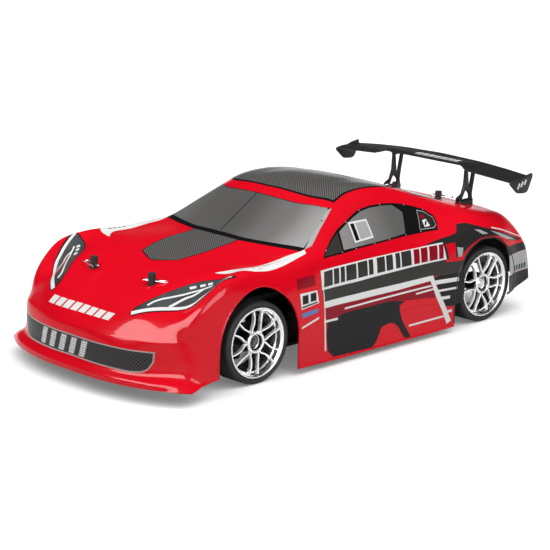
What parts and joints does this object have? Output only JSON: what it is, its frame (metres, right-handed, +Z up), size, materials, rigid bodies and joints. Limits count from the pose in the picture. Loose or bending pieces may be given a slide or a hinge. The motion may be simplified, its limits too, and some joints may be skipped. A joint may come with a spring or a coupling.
{
  "type": "rc drift car",
  "caption": "Electric radio controlled drift car: lift-off touring shell with rear wing over a shaft driven chassis with sprung arms, steering linkage and chrome road wheels.",
  "frame": {"origin": "middle of the footprint on the ground, halfway between nose and tail", "axes": "+Z up, nose towards -Y, the car's left side towards +X"},
  "size_m": [0.21, 0.4335, 0.128],
  "materials": {
    "red_shell": "glossy painted polycarbonate",
    "chrome": "plated, mirror bright",
    "tyre_rubber": "matt rubber",
    "black_plastic": "fine moulded grain",
    "carbon_plate": "woven plate, satin",
    "steel": "satin",
    "alloy": "satin turned",
    "battery_case": "hard case, satin",
    "bumper_foam": "dense moulded foam",
    "wing_plastic": "semi gloss black",
    "gear_plastic": "white moulded gear",
    "window_smoke": "smoke tinted clear sheet, glossy",
    "graphite_print": "printed dark grey",
    "white_print": "printed white"
  },
  "bodies": {
    "chassis": {"chassis_plate": "carbon_plate", "front_bumper": "bumper_foam", "front_gearbox": "black_plastic", "rear_gearbox": "black_plastic", "front_shock_tower": "carbon_plate", "rear_shock_tower": "carbon_plate", "motor": "alloy", "battery_pack": "battery_case", "battery_strap": "carbon_plate", "speed_controller": "black_plastic", "steering_servo": "black_plastic"},
    "shell": {"body_shell": "red_shell", "rear_wing": "wing_plastic", "wing_upright_left": "wing_plastic", "wing_upright_right": "wing_plastic"},
    "centre_drive": {"centre_shaft": "gear_plastic"},
    "pinion": {"motor_pinion": "steel"},
    "servo_crank_body": {"servo_crank": "black_plastic"},
    "idler_crank_body": {"idler_crank": "black_plastic"},
    "steering_link_body": {"steering_link": "carbon_plate"},
    "front_left_arm": {"front_arm_left": "black_plastic"},
    "front_left_link": {"front_camber_link_left": "steel"},
    "front_left_shock_body": {"front_shock_body_left": "alloy"},
    "front_left_shock_shaft": {"front_shock_shaft_left": "steel"},
    "front_left_driveshaft": {"front_driveshaft_left": "steel"},
    "front_left_wheel": {"front_wheel_left": "chrome", "front_tyre_left": "tyre_rubber", "front_axle_left": "steel"},
    "front_left_caster": {"caster_block_left": "black_plastic"},
    "front_left_knuckle": {"steering_knuckle_left": "black_plastic"},
    "front_right_arm": {"front_arm_right": "black_plastic"},
    "front_right_link": {"front_camber_link_right": "steel"},
    "front_right_shock_body": {"front_shock_body_right": "alloy"},
    "front_right_shock_shaft": {"front_shock_shaft_right": "steel"},
    "front_right_driveshaft": {"front_driveshaft_right": "steel"},
    "front_right_wheel": {"front_wheel_right": "chrome", "front_tyre_right": "tyre_rubber", "front_axle_right": "steel"},
    "front_right_caster": {"caster_block_right": "black_plastic"},
    "front_right_knuckle": {"steering_knuckle_right": "black_plastic"},
    "rear_left_arm": {"rear_arm_left": "black_plastic"},
    "rear_left_link": {"rear_camber_link_left": "steel"},
    "rear_left_shock_body": {"rear_shock_body_left": "alloy"},
    "rear_left_shock_shaft": {"rear_shock_shaft_left": "steel"},
    "rear_left_driveshaft": {"rear_driveshaft_left": "steel"},
    "rear_left_wheel": {"rear_wheel_left": "chrome", "rear_tyre_left": "tyre_rubber", "rear_axle_left": "steel"},
    "rear_left_hub": {"rear_hub_left": "black_plastic"},
    "rear_right_arm": {"rear_arm_right": "black_plastic"},
    "rear_right_link": {"rear_camber_link_right": "steel"},
    "rear_right_shock_body": {"rear_shock_body_right": "alloy"},
    "rear_right_shock_shaft": {"rear_shock_shaft_right": "steel"},
    "rear_right_driveshaft": {"rear_driveshaft_right": "steel"},
    "rear_right_wheel": {"rear_wheel_right": "chrome", "rear_tyre_right": "tyre_rubber", "rear_axle_right": "steel"},
    "rear_right_hub": {"rear_hub_right": "black_plastic"},
    "tie_left": {"tie_rod_left": "steel"},
    "tie_right": {"tie_rod_right": "steel"}
  },
  "joints": [
    {"name": "shell_lift", "type": "slide", "parent": "chassis", "child": "shell", "axis": [0, 0, 1], "range_m": [0, 0.14]},
    {"name": "front_left_suspension", "type": "hinge", "parent": "chassis", "child": "front_left_arm", "pos_m": [0.018, -0.1095, 0.014], "axis": [0, -1, 0], "range_deg": [-8, 7], "stiffness_Nm_per_rad": 1.6, "springref_deg": -5.16},
    {"name": "front_left_link_pivot", "type": "hinge", "parent": "chassis", "child": "front_left_link", "pos_m": [0.016, -0.1095, 0.0515], "axis": [0, -1, 0], "range_deg": [-8.5, 7.5]},
    {"name": "front_left_driveshaft_joint", "type": "hinge", "parent": "chassis", "child": "front_left_driveshaft", "pos_m": [0.018, -0.1095, 0.032], "axis": [0, -1, 0], "range_deg": [-8.5, 7.5]},
    {"name": "front_left_shock_pivot", "type": "hinge", "parent": "chassis", "child": "front_left_shock_body", "pos_m": [0.034, -0.1225, 0.062], "axis": [0, -1, 0], "range_deg": [-1, 1]},
    {"name": "front_left_shock_stroke", "type": "slide", "parent": "front_left_shock_body", "child": "front_left_shock_shaft", "axis": [0.185, 0, -0.9827], "range_m": [-0.004, 0.004]},
    {"name": "front_left_caster_pivot", "type": "hinge", "parent": "front_left_arm", "child": "front_left_caster", "pos_m": [0.06, -0.1095, 0.014], "axis": [0, -1, 0], "range_deg": [-7.5, 8.5]},
    {"name": "front_left_steer", "type": "hinge", "parent": "front_left_caster", "child": "front_left_knuckle", "pos_m": [0.06, -0.1095, 0.032], "axis": [0, 0, 1], "range_deg": [-25, 25]},
    {"name": "front_left_wheel_spin", "type": "hinge", "parent": "front_left_knuckle", "child": "front_left_wheel", "pos_m": [0.081, -0.1095, 0.032], "axis": [1, 0, 0], "continuous": true},
    {"name": "front_right_suspension", "type": "hinge", "parent": "chassis", "child": "front_right_arm", "pos_m": [-0.018, -0.1095, 0.014], "axis": [0, 1, 0], "range_deg": [-8, 7], "stiffness_Nm_per_rad": 1.6, "springref_deg": -5.16},
    {"name": "front_right_link_pivot", "type": "hinge", "parent": "chassis", "child": "front_right_link", "pos_m": [-0.016, -0.1095, 0.0515], "axis": [0, 1, 0], "range_deg": [-8.5, 7.5]},
    {"name": "front_right_driveshaft_joint", "type": "hinge", "parent": "chassis", "child": "front_right_driveshaft", "pos_m": [-0.018, -0.1095, 0.032], "axis": [0, 1, 0], "range_deg": [-8.5, 7.5]},
    {"name": "front_right_shock_pivot", "type": "hinge", "parent": "chassis", "child": "front_right_shock_body", "pos_m": [-0.034, -0.1225, 0.062], "axis": [0, 1, 0], "range_deg": [-1, 1]},
    {"name": "front_right_shock_stroke", "type": "slide", "parent": "front_right_shock_body", "child": "front_right_shock_shaft", "axis": [-0.185, 0, -0.9827], "range_m": [-0.004, 0.004]},
    {"name": "front_right_caster_pivot", "type": "hinge", "parent": "front_right_arm", "child": "front_right_caster", "pos_m": [-0.06, -0.1095, 0.014], "axis": [0, 1, 0], "range_deg": [-7.5, 8.5]},
    {"name": "front_right_steer", "type": "hinge", "parent": "front_right_caster", "child": "front_right_knuckle", "pos_m": [-0.06, -0.1095, 0.032], "axis": [0, 0, 1], "range_deg": [-25.5, 25.5]},
    {"name": "front_right_wheel_spin", "type": "hinge", "parent": "front_right_knuckle", "child": "front_right_wheel", "pos_m": [-0.081, -0.1095, 0.032], "axis": [1, 0, 0], "continuous": true},
    {"name": "rear_left_suspension", "type": "hinge", "parent": "chassis", "child": "rear_left_arm", "pos_m": [0.018, 0.1505, 0.014], "axis": [0, -1, 0], "range_deg": [-8, 7], "stiffness_Nm_per_rad": 1.6, "springref_deg": -5.73},
    {"name": "rear_left_link_pivot", "type": "hinge", "parent": "chassis", "child": "rear_left_link", "pos_m": [0.016, 0.1505, 0.0515], "axis": [0, -1, 0], "range_deg": [-8.5, 7.5]},
    {"name": "rear_left_driveshaft_joint", "type": "hinge", "parent": "chassis", "child": "rear_left_driveshaft", "pos_m": [0.018, 0.1505, 0.032], "axis": [0, -1, 0], "range_deg": [-8.5, 7.5]},
    {"name": "rear_left_shock_pivot", "type": "hinge", "parent": "chassis", "child": "rear_left_shock_body", "pos_m": [0.034, 0.1635, 0.062], "axis": [0, -1, 0], "range_deg": [-1, 1]},
    {"name": "rear_left_shock_stroke", "type": "slide", "parent": "rear_left_shock_body", "child": "rear_left_shock_shaft", "axis": [0.185, 0, -0.9827], "range_m": [-0.004, 0.004]},
    {"name": "rear_left_hub_pivot", "type": "hinge", "parent": "rear_left_arm", "child": "rear_left_hub", "pos_m": [0.06, 0.1505, 0.014], "axis": [0, -1, 0], "range_deg": [-7.5, 8.5]},
    {"name": "rear_left_wheel_spin", "type": "hinge", "parent": "rear_left_hub", "child": "rear_left_wheel", "pos_m": [0.081, 0.1505, 0.032], "axis": [1, 0, 0], "continuous": true},
    {"name": "rear_right_suspension", "type": "hinge", "parent": "chassis", "child": "rear_right_arm", "pos_m": [-0.018, 0.1505, 0.014], "axis": [0, 1, 0], "range_deg": [-8, 7], "stiffness_Nm_per_rad": 1.6, "springref_deg": -5.73},
    {"name": "rear_right_link_pivot", "type": "hinge", "parent": "chassis", "child": "rear_right_link", "pos_m": [-0.016, 0.1505, 0.0515], "axis": [0, 1, 0], "range_deg": [-8.5, 7.5]},
    {"name": "rear_right_driveshaft_joint", "type": "hinge", "parent": "chassis", "child": "rear_right_driveshaft", "pos_m": [-0.018, 0.1505, 0.032], "axis": [0, 1, 0], "range_deg": [-8.5, 7.5]},
    {"name": "rear_right_shock_pivot", "type": "hinge", "parent": "chassis", "child": "rear_right_shock_body", "pos_m": [-0.034, 0.1635, 0.062], "axis": [0, 1, 0], "range_deg": [-1, 1]},
    {"name": "rear_right_shock_stroke", "type": "slide", "parent": "rear_right_shock_body", "child": "rear_right_shock_shaft", "axis": [-0.185, 0, -0.9827], "range_m": [-0.004, 0.004]},
    {"name": "rear_right_hub_pivot", "type": "hinge", "parent": "rear_right_arm", "child": "rear_right_hub", "pos_m": [-0.06, 0.1505, 0.014], "axis": [0, 1, 0], "range_deg": [-7.5, 8.5]},
    {"name": "rear_right_wheel_spin", "type": "hinge", "parent": "rear_right_hub", "child": "rear_right_wheel", "pos_m": [-0.081, 0.1505, 0.032], "axis": [1, 0, 0], "continuous": true},
    {"name": "servo_output", "type": "hinge", "parent": "chassis", "child": "servo_crank_body", "pos_m": [0.027, -0.0815, 0.0325], "axis": [0, 0, 1], "range_deg": [-25.5, 25.5]},
    {"name": "idler_pivot", "type": "hinge", "parent": "chassis", "child": "idler_crank_body", "pos_m": [-0.027, -0.0815, 0.0325], "axis": [0, 0, 1], "range_deg": [-25.5, 25.5]},
    {"name": "steering_link_pin", "type": "hinge", "parent": "servo_crank_body", "child": "steering_link_body", "pos_m": [0.027, -0.0675, 0.036], "axis": [0, 0, 1], "range_deg": [-25.5, 25.5]},
    {"name": "tie_rod_ball_left", "type": "hinge", "parent": "steering_link_body", "child": "tie_left", "pos_m": [0.018, -0.0675, 0.0415], "axis": [0, -1, 0], "range_deg": [-8.5, 7.5]},
    {"name": "tie_rod_ball_right", "type": "hinge", "parent": "steering_link_body", "child": "tie_right", "pos_m": [-0.018, -0.0675, 0.0415], "axis": [0, 1, 0], "range_deg": [-8.5, 7.5]},
    {"name": "centre_shaft_spin", "type": "hinge", "parent": "chassis", "child": "centre_drive", "pos_m": [0, 0.0905, 0.032], "axis": [0, 1, 0], "continuous": true},
    {"name": "pinion_spin", "type": "hinge", "parent": "chassis", "child": "pinion", "pos_m": [0.02374, 0.0905, 0.0268], "axis": [0, 1, 0], "continuous": true}
  ],
  "couplings": [
    {"joint": "front_left_link_pivot", "follows": "front_left_suspension", "ratio": 1},
    {"joint": "front_left_driveshaft_joint", "follows": "front_left_suspension", "ratio": 1},
    {"joint": "front_left_shock_pivot", "follows": "front_left_suspension", "ratio": -0.022323},
    {"joint": "front_left_shock_stroke", "follows": "front_left_suspension", "m_per_rad": -0.024603},
    {"joint": "front_left_caster_pivot", "follows": "front_left_suspension", "ratio": -1},
    {"joint": "front_left_wheel_spin", "follows": "rear_left_wheel_spin", "ratio": 1},
    {"joint": "front_right_link_pivot", "follows": "front_right_suspension", "ratio": 1},
    {"joint": "front_right_driveshaft_joint", "follows": "front_right_suspension", "ratio": 1},
    {"joint": "front_right_shock_pivot", "follows": "front_right_suspension", "ratio": -0.022323},
    {"joint": "front_right_shock_stroke", "follows": "front_right_suspension", "m_per_rad": -0.024603},
    {"joint": "front_right_caster_pivot", "follows": "front_right_suspension", "ratio": -1},
    {"joint": "front_right_steer", "follows": "front_left_steer", "ratio": 1},
    {"joint": "front_right_wheel_spin", "follows": "rear_left_wheel_spin", "ratio": 1},
    {"joint": "rear_left_link_pivot", "follows": "rear_left_suspension", "ratio": 1},
    {"joint": "rear_left_driveshaft_joint", "follows": "rear_left_suspension", "ratio": 1},
    {"joint": "rear_left_shock_pivot", "follows": "rear_left_suspension", "ratio": -0.022323},
    {"joint": "rear_left_shock_stroke", "follows": "rear_left_suspension", "m_per_rad": -0.024603},
    {"joint": "rear_left_hub_pivot", "follows": "rear_left_suspension", "ratio": -1},
    {"joint": "rear_right_link_pivot", "follows": "rear_right_suspension", "ratio": 1},
    {"joint": "rear_right_driveshaft_joint", "follows": "rear_right_suspension", "ratio": 1},
    {"joint": "rear_right_shock_pivot", "follows": "rear_right_suspension", "ratio": -0.022323},
    {"joint": "rear_right_shock_stroke", "follows": "rear_right_suspension", "m_per_rad": -0.024603},
    {"joint": "rear_right_hub_pivot", "follows": "rear_right_suspension", "ratio": -1},
    {"joint": "rear_right_wheel_spin", "follows": "rear_left_wheel_spin", "ratio": 1},
    {"joint": "servo_output", "follows": "front_left_steer", "ratio": 1},
    {"joint": "idler_pivot", "follows": "front_left_steer", "ratio": 1},
    {"joint": "steering_link_pin", "follows": "front_left_steer", "ratio": -1},
    {"joint": "tie_rod_ball_left", "follows": "front_left_suspension", "ratio": 1},
    {"joint": "tie_rod_ball_right", "follows": "front_right_suspension", "ratio": 1},
    {"joint": "centre_shaft_spin", "follows": "rear_left_wheel_spin", "ratio": 2.6},
    {"joint": "pinion_spin", "follows": "rear_left_wheel_spin", "ratio": -7.8}
  ]
}
